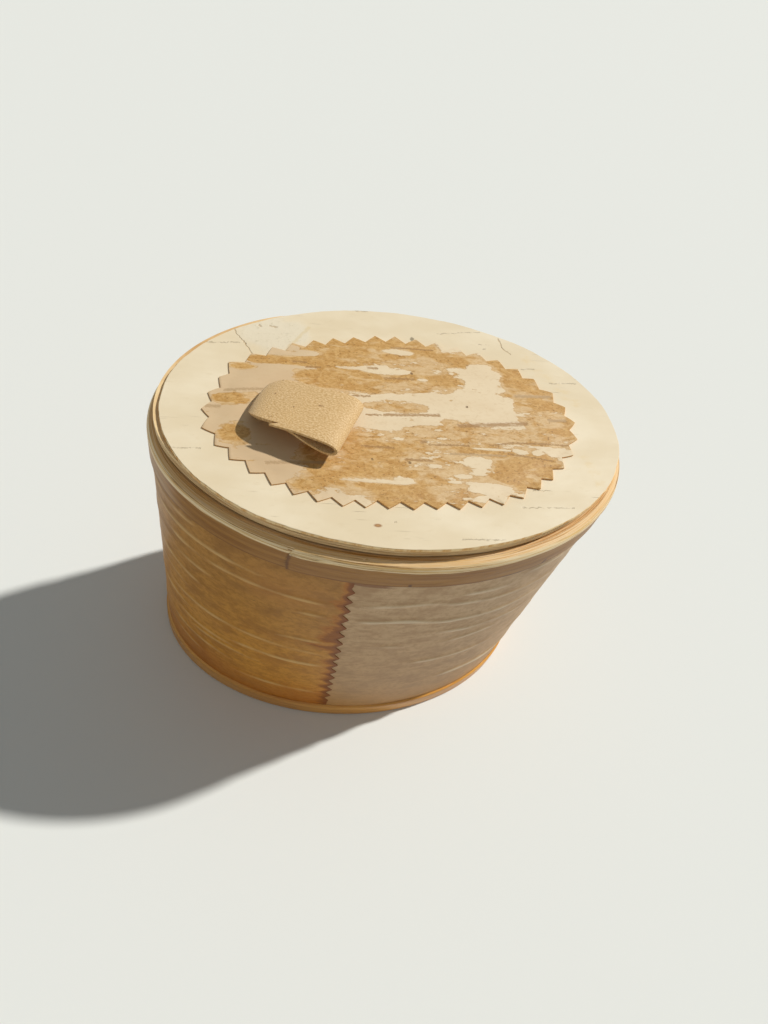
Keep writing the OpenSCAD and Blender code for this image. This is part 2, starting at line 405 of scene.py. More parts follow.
def outer_section(length, share, behind):
    z = share * WALL_HIGH
    lap = smooth(length, last - LAP_RAMP, last)
    under = LAP_TUCK * smooth(SEAM - length, 0, LAP_UNDER)
    if HOOP_TOP < z < BAND_FOOT:
        out = OUTER_FACE + SHEET_WAVE * wander(length * 14, z * 16) - under
        if behind:
            out += (LAP_RISE - LAP_END) * lap - SHEET * (1 - lap)
        else:
            out += LAP_RISE * lap + WELT_HEIGHT * welt_height(length, z)
        return out, z, seam_drawn(length, z)
    if behind:
        return BETWEEN + under, min(z, shoulder_at(BETWEEN) - under), 0
    top = shoulder_at(OUTER_FACE) + RIM_WEAR * wander(length * 90)
    return OUTER_FACE - under, min(z, top - under), 0


bm = flat_strip(WALL_COLUMNS, WALL_ROWS)
write_uv(bm, last - first, WALL_HIGH)
welt_layer, end_layer, stain_layer = map(bm.verts.layers.float.new, ("welt", "to_end", "stain"))
for v in bm.verts:
    length, z = first + (last - first) * v.co.x, v.co.y * WALL_HIGH
    v[welt_layer] = welt_height(length, z)
    v[end_layer] = (last - length) / MM
    v[stain_layer] = max(-1.0, 1 - (last - length) / MM / through(STAIN, z / MM))
bend_strip(bm, first, last, outer_section)
outer = piece(bm, "outer_wall_sheet", "box", "outer_wall")

# %% [markdown]
# ## The inner sheet, the rim band and the foot hoop
#
# The inner sheet shows as the innermost ply of the rim and as the inside of the
# box. The band is a thin strip whose top is worn round over the shoulder, and
# its end laps over itself at the front left. The hoop at the foot is the same
# kind of strip with both its edges rounded.

# %% Inner sheet
INNER_WAVE, INNER_WEAR = 0.12 * MM, 0.15 * MM
INNER_BEVEL, INNER_BACK = 0.25 * MM, 0.05 * MM


def inner_section(length, share, behind):
    top = RIM_TOP + INNER_WEAR * (wander(length * 70, 4) - 1)
    if behind:
        wave = INNER_WAVE * wander(length * 18, share * 3) * smooth(share, 0, 0.1)
        return INNER_FACE + wave, share * (top - INNER_BEVEL), 0
    return BETWEEN - INNER_BACK, share * top, 0


inner = wrap("inner_wall_sheet", inner_section, edge.at(math.radians(70)), (240, 24), RIM_TOP,
             "box", "inner_wall")

# %% Rim band
BAND_LAP = edge.at(math.radians(243.5))
BAND_OVER = 3 * MM
BAND_FLAT = 12 * MM
BAND_SIDE = 0.7
BAND_RISE, RISE_OVER = 0.35 * MM, 14 * MM
CUT_SLANT, CUT_BEND, CUT_OVER = 1.6 * MM, 0.9 * MM, 5 * MM
FOOT_WAVE, SHOULDER_WAVE = 0.25 * MM, 0.1 * MM
BAND_ROUGH, BAND_FINE = 0.06 * MM, 0.05 * MM


def band_section(length, share, behind):
    near_lap = length - BAND_LAP
    rise = BAND_RISE * (1 - smooth(near_lap, 0, RISE_OVER))
    slant = CUT_SLANT * share - CUT_BEND * math.sin(3 * share)
    slant *= 1 - smooth(near_lap, 0, CUT_OVER)
    if share <= BAND_SIDE:
        out = BAND_FACE + rise
        foot = BAND_FOOT + FOOT_WAVE * wander(length * 60, 2)
        z = foot + (RIM_TOP - SHOULDER - foot) * share / BAND_SIDE
    else:
        turn = (share - BAND_SIDE) / (1 - BAND_SIDE)
        out = BAND_FACE + rise * (1 - turn) - BAND * turn
        z = shoulder_at(min(out, BAND_FACE)) + SHOULDER_WAVE * wander(length * 110, 8) * turn
    if behind:
        return OUTER_FACE + JOIN_GAP + rise, min(z, shoulder_at(OUTER_FACE)) - JOIN_GAP, -slant
    under = MM * smooth(near_lap - edge.total, -MM, BAND_OVER)
    out += BAND_ROUGH * wander(length * 120, share * 3) + BAND_FINE * wander(length * 300, share * 30)
    return out - 0.3 * under, z - 0.2 * under, -slant


band = wrap("rim_band_strip", band_section, BAND_LAP, (300, 20), BAND_FLAT,
            "box", "rim_band", lap=BAND_OVER, crease=50)

# %% Foot hoop
HOOP_ROUND = 0.8 * MM
HOOP_WAVE, HOOP_LIFT = 0.1 * MM, 0.3 * MM


def hoop_section(length, share, behind):
    z = share * HOOP_TOP
    if behind:
        return OUTER_FACE + JOIN_GAP, z, 0
    from_edge = max(0.0, HOOP_ROUND - min(z, HOOP_TOP - z))
    rounding = HOOP_ROUND - math.sqrt(HOOP_ROUND**2 - from_edge**2)
    wave = HOOP_WAVE * (wander(length * 40, share * 2) - 1)
    lift = HOOP_LIFT * wander(length * 30, 6)
    return HOOP_FACE - rounding + wave * share, z + lift * share, 0


hoop = wrap("foot_hoop_strip", hoop_section, edge.at(math.radians(100)), (240, 20), HOOP_TOP,
            "box", "foot_hoop", crease=50)

# %% [markdown]
# ## The lid's sheet
#
# A flat sheet of bark cut by hand a little unevenly. A line of points from the
# middle out over the edge and back below is spun once round the axis, and the
# disc that this makes is then pressed into the oval.

# %% Discs
def spun_disc(profile, steps):
    """A closed disc from (share of the radius, height) points, axis to axis."""
    bm = bmesh.new()
    line = [bm.verts.new((r, 0, z)) for r, z in profile]
    edges = [bm.edges.new(pair) for pair in zip(line, line[1:])]
    bmesh.ops.spin(bm, geom=line + edges, axis=(0, 0, 1), angle=TURN, steps=steps, use_merge=True)
    bmesh.ops.remove_doubles(bm, verts=bm.verts, dist=1e-6)
    return bm


def disc_profile(rings, low, high, bevel):
    """Rings across the top, a softened edge, and a plain underside."""
    top = [(i / rings, high) for i in range(rings)]
    soft = bevel / HALF.x
    rim = [(1 - soft, high), (1, high - bevel), (1, low + bevel / 2), (1 - soft / 2, low)]
    return top + rim + [(0.5, low), (0, low)]


SHEET_LOW, SHEET_HIGH = heights("lid_top_sheet")
SHEET_RINGS, SHEET_STEPS = 30, 400
SHEET_BEVEL = 0.2 * MM
SHEET_RAGGED, SHEET_NICKED = 0.3 * MM, 0.1 * MM
SHEET_LIFT = 0.15 * MM
SHEET_IN, STRIP_OUT = 0.5 * MM, 1.5 * MM
# Degrees over which the strip leaves the sheet's edge and comes back to it
PARTS, MEETS = (95, 130), (185, 215)


def parted(angle):
    """How far, from 0 to 1, the edge strip has sprung out at the back left."""
    turned = math.degrees(angle) % 360
    return smooth(turned, *PARTS) * (1 - smooth(turned, *MEETS))


bm = spun_disc(disc_profile(SHEET_RINGS, SHEET_LOW, SHEET_HIGH, SHEET_BEVEL), SHEET_STEPS)
side_layer = bm.verts.layers.float.new("cut_side")
for v in bm.verts:
    v[side_layer] = min(1.0, (SHEET_HIGH - v.co.z) / SHEET_BEVEL)
    angle = math.atan2(v.co.y, v.co.x)
    share = math.hypot(v.co.x, v.co.y)
    ragged = SHEET_RAGGED * wander(math.cos(angle) * 6, math.sin(angle) * 6)
    ragged += SHEET_NICKED * wander(math.cos(angle) * 40, math.sin(angle) * 40)
    flat = oval_point(angle, ragged - SHEET_IN * parted(angle)) * share
    wave = SHEET_LIFT * wander(flat.x * 28, flat.y * 28, 3) * smooth(share, 0.85, 1)
    v.co = (flat.x, flat.y, v.co.z + wave)
top_sheet = piece(bm, "lid_bark_sheet", "lid", "lid_top_sheet")

# %% [markdown]
# The strip round the board below it is bark on edge: three layers that have
# parted a little, with grooves between them that are painted dark as shade. At the
# back left the strip has sprung out from under the sheet.

# %% Lid edge strip and plug ring
STRIP_LOW, STRIP_HIGH = heights("lid_edge_strip")
STRIP_FACE = stand_out("lid_edge_strip")
CORE_FACE = stand_out("lid_core")
PARTINGS = (1, 2)
GROOVE_WIDTH, GROOVE = 0.13, 0.5 * MM
EDGE_WAVE = 0.15 * MM


def edge_strip_section(length, share, behind):
    z = STRIP_LOW + (STRIP_HIGH - STRIP_LOW) * share
    if behind:
        return CORE_FACE, z, 0
    layer = 3 * share + 0.3 * wander(length * 25, 5)
    groove = sum(math.exp(-(((layer - parting) / GROOVE_WIDTH) ** 2)) for parting in PARTINGS)
    out = STRIP_FACE + STRIP_OUT * parted(edge.angle(length))
    out -= GROOVE * groove * smooth(wander(length * 45, layer), -0.6, 0.2)
    return out + EDGE_WAVE * wander(length * 50, layer * 0.7), z, 0


edge_start = edge.at(math.radians(120))
edge_strip = wrap("lid_edge_layers", edge_strip_section, edge_start, (360, 18),
                  STRIP_HIGH - STRIP_LOW, "lid", "lid_edge_strip", crease=60)

PLUG_LOW, PLUG_HIGH = heights("plug_ring")
PLUG_FACE, PLUG_INSIDE = stand_out("plug_ring"), stand_out("lid_lining")
PLUG_ROUND = 0.3 * MM


def plug_section(length, share, behind):
    rounding = PLUG_ROUND * (1 - smooth(share, 0, 0.08))
    out = PLUG_INSIDE + rounding if behind else PLUG_FACE - rounding
    return out, PLUG_LOW + (PLUG_HIGH - PLUG_LOW) * share, 0


plug = wrap("plug_ring_strip", plug_section, edge_start, (220, 14), PLUG_HIGH - PLUG_LOW,
            "lid", "plug_ring")

# %% [markdown]
# ## The pinked oval
#
# The oval glued on the lid is cut with the same shears, by hand, so the tips
# are 6 to 8 mm apart and some reach out further than others. It is spun as a
# disc with twelve columns to a tooth, and the outer rings are drawn in between
# the tips.

# %% Teeth of the pinked oval
OVAL_MIDDLE = Vector((-0.9, 0.1)) * MM
OVAL_TURN = math.radians(2)
OVAL_HALF = Vector((57.3, 33.4)) * MM
TEETH_DEPTH = 2.5 * MM
FIRST_TIP = 1.0
TIP_GAPS = (6.5, 6.5, 7.9, 6.1, 7.0, 6.9, 7.1, 6.9, 7.0, 6.7, 6.5, 7.2, 6.7, 6.4, 6.9, 6.6, 7.0, 7.6,
            6.4, 7.0, 6.6, 6.8, 6.9, 6.2, 7.0, 6.8, 6.5, 6.6, 6.9, 6.2, 6.5, 7.2, 6.7, 6.6, 6.6, 6.5,
            6.8, 6.5, 5.9, 6.1, 6.4, 7.0, 6.6)
TIP_REACH = (0, -0.5, -0.5, -0.4, 0, 0, 0, -0.3, -0.3, -0.3, 0, -0.3, -1, -1, -1, -0.7, -0.4, 0, 1,
             -1, -1.1, -0.5, 0.5, 0, 0, 0, 0.4, 0.8, 0.8, 0.4, -0.3, -0.7, -0.7, -0.7, 0, 0.4, 1.2,
             1.2, 0.8, 0.4, 0, 0, 0)
TEETH = len(TIP_GAPS)
PER_TOOTH = 12
OVAL_RINGS = 72
OVAL_BEVEL = 0.12 * MM
TOOTH_CURL = 0.25 * MM
# Its top lies this much above the solid's, and so above the leather in the slot
SLACK = 0.06 * MM

oval_edge = Edge(OVAL_HALF)
share_of_edge = oval_edge.total / sum(TIP_GAPS)
tips = [FIRST_TIP * MM + sum(TIP_GAPS[:i]) * share_of_edge for i in range(TEETH + 1)]
print(f"{TEETH} teeth over {oval_edge.total / MM:.0f} mm")

# %% [markdown]
# Its golden places are where the pale skin has come away. They are painted on
# the mesh's corners, in order, as ovals of one tone: middle and half size in mm.
# The finish then tears their edges along the grain.

# %% Golden places
GOLD, TAN, BARE = 1.0, 0.45, -1.0
PATCHES = (
    (GOLD, (-6, 20, 26, 10), (-21, 27.5, 12, 4), (4, 29, 11, 4.5), (10, 23, 14, 5), (23, 26, 9, 2.6),
     (12, 15.5, 10, 4), (-25, 14, 6.5, 4.5), (-14, 12, 18, 4)),
    (TAN, (5, 11.3, 13, 2.6), (6, 21, 14, 3.4)),
    (BARE, (18, 30.6, 4, 1.6), (-33, 22.6, 9.5, 1.5), (-38, 23.5, 3.5, 2.4)),
    (1.6, (-37, 18.8, 9.5, 2), (-47, 15.4, 4, 1.3)),
    (BARE, (-35, 16.3, 10, 0.6)),
    (GOLD, (36, 22.5, 5.5, 3.6), (42, 17, 9, 6), (47, 8, 11, 8.5), (50, 0, 9, 7), (33, 11.8, 4, 0.9),
     (32.5, 25.5, 4.5, 2)),
    (TAN, (44, 3, 8, 4)),
    (BARE, (28.5, 18.3, 5.6, 6), (20, 20.8, 4, 0.8), (27, 7.5, 8, 6.5)),
    (0.6, (-1, 3.8, 10.5, 2.5)),
    (BARE, (0, 7, 11, 0.7), (14, 8.2, 8, 2.4), (0, -2, 13, 2.1)),
    (GOLD, (-9, -17, 22, 12), (12, -18, 25, 13), (-28, -26.5, 5, 3), (3, -29.5, 14, 4.5),
     (-3, 29.5, 17, 4.5), (38, -17, 12, 8)),
    (TAN, (28, -5, 28, 3.4), (4, -8, 17, 2.6), (15.5, -1.2, 3, 2), (10, -16, 12, 5), (14, -24, 8, 5)),
    (BARE, (22, -16.4, 4.2, 3.5), (25, -24.5, 7, 2.2), (25, -28, 5, 1.4), (-8, -24, 11, 0.7),
     (-1, -23.4, 3.2, 1.2), (-21, -30.8, 7.5, 1.3), (-1, -8.3, 1.6, 0.5), (9, -8.9, 3.2, 0.45),
     (9, -17.6, 1.9, 0.5), (17, -20.5, 2.8, 0.7), (14, -22.8, 1.9, 0.4), (36, -10.2, 2, 0.9),
     (41.5, -10.3, 1.7, 0.9), (27, -10.1, 6, 0.4), (50.5, -9.8, 2.6, 0.7), (-4, 18, 8.5, 1.6),
     (-14, 17.8, 5, 0.5), (1, 26.3, 5, 1.1), (8, 15.3, 1.6, 0.6)),
    (1.7, (-49.5, 2.4, 6, 2.2)),
    (TAN, (-43, 3.6, 5, 1.6)),
    (1.7, (-48.3, -10.3, 4.6, 3.5)),
    (TAN, (-20, -15, 4, 3)),
)
FADE = 2.4


def painted(x, y):
    """Tone of the pinked oval at a place on the lid, in mm."""
    value = BARE
    for tone, *ovals in PATCHES:
        for cx, cy, rx, ry in ovals:
            dx, dy = x - cx, y - cy
            fade = min(FADE, 0.8 * rx, 0.8 * ry)
            if abs(dx) < rx + fade and abs(dy) < ry + fade:
                far = max(0.01, math.hypot(dx / rx, dy / ry))
                outside = math.hypot(dx, dy) * (1 - 1 / far)
                value += (tone - value) * (1 - smooth(outside, -fade, fade))
    return value


# %% Pinked oval
bm = spun_disc(disc_profile(OVAL_RINGS, OVAL_FOOT, LID_TOP + SLACK, OVAL_BEVEL), TEETH * PER_TOOTH)
gold_layer, side_layer = map(bm.verts.layers.float.new, ("golden", "cut_side"))
for v in bm.verts:
    share = math.hypot(v.co.x, v.co.y)
    place = math.atan2(v.co.y, v.co.x) / TURN % 1.0 * TEETH
    number = min(int(round(place * PER_TOOTH) // PER_TOOTH), TEETH - 1)
    across = place - number
    length = tips[number] + (tips[number + 1] - tips[number]) * across
    reach = TIP_REACH[number] * (1 - across) + TIP_REACH[(number + 1) % TEETH] * across
    from_tip = 1 - abs(2 * across - 1)
    drawn_in = TEETH_DEPTH * from_tip * (1 + 0.14 * wander(number * 2.9, 1)) - reach * MM
    angle = oval_edge.angle(length)
    on_edge = oval_point(angle, 0, OVAL_HALF)
    inwards = on_edge - oval_point(angle, 1, OVAL_HALF)
    flat = on_edge * share + inwards * drawn_in * smooth(share, 0.84, 1)
    x = flat.x * math.cos(OVAL_TURN) - flat.y * math.sin(OVAL_TURN) + OVAL_MIDDLE.x
    y = flat.x * math.sin(OVAL_TURN) + flat.y * math.cos(OVAL_TURN) + OVAL_MIDDLE.y
    pressed = 1 - (0.5 - 0.15 * smooth(x, -55 * MM, 5 * MM)) * smooth(share, 0.8, 0.97)
    curl = smooth(wander(number * 1.7, 6), -0.2, 0.5) * TOOTH_CURL
    lift = curl * smooth(share, 0.93, 1) * (1 - min(1.0, from_tip)) * smooth(x, -60 * MM, -10 * MM)
    v[gold_layer] = painted(x / MM, y / MM)
    v[side_layer] = min(1.0, (LID_TOP + SLACK - v.co.z) / OVAL_BEVEL)
    v.co = (x, y, OVAL_FOOT + (v.co.z - OVAL_FOOT) * pressed + lift)
pinked = piece(bm, "pinked_bark_oval", "lid", "pinked_applique")

# %% [markdown]
# ## The pull loop
#
# One strip of leather comes up through a slot, bends back, lies over to the
# right, folds, and goes back down the same slot. The near edge stands open and
# the far edge is pressed flatter, so the two edges get a line of points each,
# and the strip is stretched between them. It was cut narrower where it goes
# through the slot, which leaves a small pointed step in the near edge.
#
# The strip bends where it leaves the lid, so its root follows the lid and the
# rest follows the loop's own body.

# %% Pull loop
hinge = next(j for j in frame["joints"] if j["name"] == "loop_hinge")
SLOT = Vector((*hinge["pos_m"][:2], LID_TOP))
WIDTHWAYS = -Vector(hinge["axis"])
ALONG = Vector((WIDTHWAYS.y, -WIDTHWAYS.x, 0))
STRIP = 1.1 * MM
STRIP_WIDTH = 20.0
STRIP_LENGTH = 66 * MM
ALONG_ROWS, ACROSS_ROWS = 132, 16
# Shares of the strip between which it has its full width, and the step's slant
WIDE_FROM, WIDE_TO = 0.4, 0.86
STEP_BACK, STEP_OVER = 0.025, 0.08
CROWN, BELLY = 0.4, -0.3
THINNED, THIN_OVER = 0.25, 0.03
NEARBY = 0.004
ROOT = Vector((0, 0, 3.0 * MM))

# (along, height, across) in mm from the slot, from one end to the other
NEAR_EDGE = ((0, -0.8, 3.9), (-0.8, 0.7, 3.8), (-1.9, 0.85, 3.9), (-2.8, 1.3, 3.8), (-3.1, 2.4, 3.2),
             (-2.3, 3.7, 1.8), (-0.5, 5.3, 0.3), (2.5, 6.4, -0.5), (7.2, 7.3, -0.5), (11.5, 7.6, 0.1),
             (17.6, 7.8, 0.6), (22.4, 7.3, 1.2), (24.5, 5.8, 1.4), (23.6, 4.1, 1.1), (20.5, 4.2, 0.4),
             (16, 5.1, 0.3), (11, 5.9, 0.8), (7, 5.3, 1.6), (3.6, 3.0, 3.0), (1.7, 1.0, 4.5),
             (1.3, -0.8, 4.8))
FAR_EDGE = ((0, -0.8, 14), (-0.8, 0.6, 14), (-1.8, 0.8, 14), (-2.8, 1.15, 14.2), (-3.1, 1.9, 14.6),
            (-3.0, 2.9, 15.6), (-1.3, 3.5, 17.4), (1.2, 4.2, 18.6), (6.7, 5.6, 18.9),
            (10.8, 6.5, 19.1), (16.8, 7.4, 19.8), (22, 7.5, 20.1), (24.4, 6.4, 19.6),
            (23.6, 5.0, 19.5), (20.6, 4.6, 19.6), (16, 4.3, 19.4), (11, 3.6, 19.2), (7, 2.8, 18.9),
            (3.5, 1.7, 18.4), (1.7, 0.8, 17), (1.3, -0.8, 16))


def along_curve(points, share):
    """Point at a share of the way along a smooth curve through the points."""
    place = share * (len(points) - 1)
    i = min(int(place), len(points) - 2)
    t = place - i
    a, b = Vector(points[max(0, i - 1)]), Vector(points[i])
    c, d = Vector(points[i + 1]), Vector(points[min(len(points) - 1, i + 2)])
    return 0.5 * (2 * b + (c - a) * t + (2 * a - 5 * b + 4 * c - d) * t**2
                  + (3 * b - a - 3 * c + d) * t**3)


def strip_point(share, width):
    """Middle of the strip, in mm from the slot."""
    share = min(1.0, max(0.0, share))
    near, far = along_curve(NEAR_EDGE, share), along_curve(FAR_EDGE, share)
    arch = math.sin(math.pi * width)
    crown = CROWN * arch * smooth(share, 0.2, 0.4) * (1 - smooth(share, 0.5, 0.6))
    belly = BELLY * arch * (1 - smooth(share, 0.22, 0.35))
    return near.lerp(far, width) + Vector((belly, crown, 0))


def cut_away(along, across):
    """Whether a place on the flat strip was cut off to pass the slot."""
    return across < 1 / ACROSS_ROWS and not WIDE_FROM <= along <= WIDE_TO


bm = flat_strip(ALONG_ROWS, ACROSS_ROWS, cut_away)
write_uv(bm, STRIP_LENGTH, STRIP_WIDTH * MM)
for v in bm.verts:
    share, width = v.co.x, v.co.y
    side = 0.5 if v.co.z > -0.5 else -0.5
    if width < 0.5 / ACROSS_ROWS:
        share -= STEP_BACK * (1 - smooth(share, WIDE_FROM, WIDE_FROM + STEP_OVER))
    ahead = (strip_point(share + NEARBY, width) - strip_point(share - NEARBY, width)).normalized()
    square = Vector((-ahead.y, ahead.x))
    middle = strip_point(share, width)
    thin = 1 - THINNED * (1 - smooth(min(width, 1 - width), 0, THIN_OVER))
    at = Vector((middle.x, middle.y)) + square * side * STRIP / MM * thin
    v.co = SLOT + (ALONG * at.x + WIDTHWAYS * (middle.z - STRIP_WIDTH / 2)) * MM
    v.co.z = LID_TOP + at.y * MM
loop = piece(bm, "leather_pull_loop", None, "pull_loop", crease=50)
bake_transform(loop, "lid", "loop", start=SLOT, end=SLOT + ROOT)

# %% [markdown]
# ## Writing a finish
#
# A bark pattern is mostly masks: noise or drawn marks, eased to run from 0 to 1.
# `Value` wraps a node's output so that sums of masks are written as sums.
# `Finish` makes every other node, and lays coats of colour over each other. Its
# colours are written as the screen shows them, 0 to 255.

# %% Shader helpers
class Value:
    """The output of a shader node, for use in Python sums."""

    def __init__(self, finish, socket):
        self.finish, self.socket = finish, socket

    def _math(self, operation, other):
        return self.finish.node("Math", {"operation": operation}, self, other)

    def __add__(self, other):
        return self._math("ADD", other)

    def __sub__(self, other):
        return self._math("SUBTRACT", other)

    def __mul__(self, other):
        return self._math("MULTIPLY", other)

    __radd__ = __add__


def rgb(red, green, blue):
    """A colour of the screen, for a shader socket."""
    linear = [c / 255 / 12.92 if c < 10 else ((c / 255 + 0.055) / 1.055) ** 2.4
              for c in (red, green, blue)]
    return (*linear, 1.0)


class Finish:
    """A material under construction."""

    def __init__(self, name, coat=0.0, sheen=0.0, gloss=0.35):
        self.material = bpy.data.materials.new(name)
        self.material.use_nodes = True
        self.tree = self.material.node_tree
        self.shader = self.tree.nodes["Principled BSDF"]
        for key, value in (("Coat Weight", coat), ("Coat Roughness", 0.35),
                           ("Sheen Weight", sheen), ("Specular IOR Level", gloss)):
            self.plug(self.shader.inputs[key], value)

    def plug(self, socket, value):
        if isinstance(value, Value):
            self.tree.links.new(value.socket, socket)
        else:
            socket.default_value = value

    def node(self, kind, settings=None, *values, out=0, **named):
        """Adds a node: its settings first, then its inputs by place or name."""
        made = self.tree.nodes.new("ShaderNode" + kind)
        for key, setting in (settings or {}).items():
            setattr(made, key, setting)
        for socket, value in zip(made.inputs, values):
            self.plug(socket, value)
        for key, value in named.items():
            self.plug(made.inputs[key.replace("_", " ")], value)
        return Value(self, made.outputs[out])

    def place(self, scale=(1, 1, 1), turn=0.0, uv=False):
        """Coordinates in metres times scale, from the piece or its UV map."""
        if uv:
            source = self.node("UVMap", {"uv_map": "bark"})
        else:
            source = self.node("TexCoord", None, out=3)
        return self.node("Mapping", None, source, (0, 0, 0), (0, 0, turn), scale)

    def noise(self, place, scale=1.0, detail=4.0, rough=0.55, bend=0.0):
        return self.node("TexNoise", None, Vector=place, Scale=scale, Detail=detail,
                         Roughness=rough, Distortion=bend)

    def grain(self, along, across, **how):
        """Noise on the flat sheet of a piece, finer across its grain."""
        return self.noise(self.place((along, across, 1), uv=True), **how)

    def lid_grain(self, along, across, **how):
        """The same on the lid, where the grain lies almost along X."""
        return self.noise(self.place((along, across, 1), GRAIN), **how)

    def along(self, scale=1):
        """Length along the flat sheet, in metres times scale."""
        return self.node("SeparateXYZ", None, self.place((scale, 1, 1), uv=True))

    def vector(self, operation, *values, out=0, **named):
        return self.node("VectorMath", {"operation": operation}, *values, out=out, **named)

    def ease(self, value, low, high):
        """0 below low, 1 above high; the other way round if low is above high."""
        return self.node("MapRange", {"interpolation_type": "SMOOTHSTEP"}, value, low, high)

    def attribute(self, name):
        return self.node("Attribute", {"attribute_name": name}, out=2)

    def mix(self, share, first, second):
        """Mixes two colours."""
        made = self.tree.nodes.new("ShaderNodeMix")
        made.data_type = "RGBA"
        self.plug(made.inputs[0], share)
        for socket, colour in zip(made.inputs[6:8], (first, second)):
            self.plug(socket, rgb(*colour) if isinstance(colour, tuple) else colour)
        return Value(self, made.outputs[2])

    def coats(self, colour, *coats):
        """Lays coats over a colour: each is a mask, its strength and a colour."""
        for mask, strength, over in coats:
            colour = self.mix(mask * strength, colour, over)
        return colour

    def height(self):
        """Height above the floor, in metres."""
        return self.node("SeparateXYZ", None, self.node("TexCoord", None, out=3), out=2)

    def shaken(self, scale, reach):
        """The lid's plane, shaken by noise so that drawn marks look torn."""
        shake = self.node("TexNoise", None, out=1, Vector=self.place(scale))
        shake = self.vector("SUBTRACT", shake, (0.5, 0.5, 0.5))
        bent = self.vector("ADD", self.place(), self.vector("SCALE", shake, Scale=reach))
        return self.vector("MULTIPLY", bent, (1, 1, 0))

    def line(self, place, x, y, to_x, to_y, width):
        """1 on a thin line between two points given in mm, 0 away from it."""
        a, b = Vector((x, y, 0)) * MM, Vector((to_x, to_y, 0)) * MM
        along = b - a
        apart = self.vector("SUBTRACT", place, tuple(a))
        dot = self.vector("DOT_PRODUCT", apart, tuple(along), out=1)
        share = self.node("Clamp", None, dot * (1 / along.length_squared))
        away = self.vector("DISTANCE", apart, self.vector("SCALE", tuple(along), Scale=share), out=1)
        return self.ease(away, width * MM, 0.2 * width * MM)

    def spot(self, place, x, y, radius):
        """1 on a spot given in mm, 0 away from it."""
        away = self.vector("DISTANCE", place, tuple(Vector((x, y, 0)) * MM), out=1)
        return self.ease(away, radius * MM, 0.4 * radius * MM)

    def marks(self, place, marks):
        """All the lines and spots of a list added up."""
        total = 0.0
        for mark in marks:
            total = (self.line if len(mark) == 5 else self.spot)(place, *mark) + total
        return total

    def wear(self, colour, roughness, bump=None, depth=0.0):
        """Connects the finish and gives the material."""
        self.plug(self.shader.inputs["Base Color"], colour)
        self.plug(self.shader.inputs["Roughness"], roughness)
        if bump is not None:
            relief = self.node("Bump", None, Distance=depth, Height=bump)
            self.plug(self.shader.inputs["Normal"], relief)
        return self.material


def paint(made, material):
    """Puts one material on a piece or a node."""
    made.data.materials.clear()
    made.data.materials.append(material)
    print(f"{made.name} wears {material.name}")


# %% [markdown]
# ## Cream bark
#
# The outer face of birch bark: smooth, cream, with thin grey-brown pores that
# lie along the grain. Fine noise stretched along X makes the pores, and a short
# list of longer ones, a knot and cracks is given. At the back left a
# papery layer has lifted, greyer and flecked.

# %% Cream bark
GRAIN = math.radians(-3)
PORES = ((33, -29.7, 49.5, -29, 0.22), (14.5, -41.2, 27, -40.8, 0.25), (14, 37, 30, 39.8, 0.2),
         (29, 34, 32.5, 34.5, 0.3), (51, 19.3, 60, 20.2, 0.35), (42, 24.5, 46.5, 25, 0.3),
         (-65, -16.2, -57, -15.8, 0.3), (38, -23.5, 44, -23.3, 0.2), (-58, 24.2, -48, 25.2, 0.3),
         (18.5, 28.8, 22, 30.4, 0.3), (-13, 44, -8, 44.4, 0.3), (-4, -36.6, -3.6, -36.6, 0.4),
         (30, 32, 31, 32.2, 0.4))
CRACKS = ((-50, 30.5, -46.5, 25, 0.3), (-46.5, 25, -44.3, 21, 0.3), (36.2, 37.5, 37, 33.5, 0.35),
          (37, 33.5, 39.2, 30.8, 0.3), (-42.5, 33.5, -41.8, 33.2, 0.5), (-39.2, 33.6, -37, 33.4, 0.45))
PAPERY = ((-44, 30, 6.5), (-37, 28, 8.5), (-39, 32.5, 8), (-31, 33, 5), (-30.5, 29.5, 5))
WORN = ((57, -10, 60, -20, 3.0), (44, 30, 58, 12, 3.5))
CREASE = (-34, 24, -27, 34.5, 0.8)
SPOT = (6.3, 33.6, 1.0)
KNOT = (-4.4, -38)

f = Finish("cream_bark")
cloud = f.noise(f.place((30, 60, 0), GRAIN), detail=3)
mottle = f.lid_grain(240, 500, detail=5, rough=0.65)
pores = f.ease(f.lid_grain(70, 2600, detail=2, rough=0.5), 0.66, 0.74)
pores *= f.ease(f.lid_grain(60, 260, detail=2), 0.52, 0.64)
flakes = f.noise(f.place((500, 650, 1)), detail=5, rough=0.7)
broken = f.ease(f.noise(f.place((500, 500, 1)), detail=2), 0.34, 0.56)
level, flat = f.shaken((150, 150, 1), 0.0014), f.place((0.5, 1, 0))
papery = f.node("Clamp", None, f.marks(level, PAPERY))
lines, cracks = f.marks(level, PORES) * broken, f.marks(level, CRACKS)
colour = f.coats(
    f.mix(f.ease(cloud, 0.35, 0.7), (227, 208, 172), (238, 222, 190)),
    (f.ease(mottle, 0.55, 0.8), 0.35, (214, 192, 152)),
    (pores, 0.5, (176, 156, 122)),
    (papery, 0.6, (228, 216, 190)),
    (papery * f.ease(flakes, 0.56, 0.7), 0.55, (190, 176, 142)),
    (f.line(level, *CREASE), 0.4, (216, 190, 136)),
    (f.marks(level, WORN) * f.ease(mottle, 0.4, 0.7), 0.35, (226, 196, 138)),
    (lines, 0.5, (164, 144, 112)),
    (cracks, 0.5, (176, 142, 92)),
    (f.spot(level, *SPOT), 0.75, (120, 106, 78)),
    (f.spot(flat, *KNOT, 0.75), 0.9, (150, 96, 40)),
    (f.spot(flat, *KNOT, 0.35), 0.6, (196, 150, 92)),
    (f.ease(f.attribute("cut_side"), 0.05, 0.5), 1,
     f.mix(f.ease(mottle, 0.4, 0.6), (226, 172, 100), (252, 220, 164))))
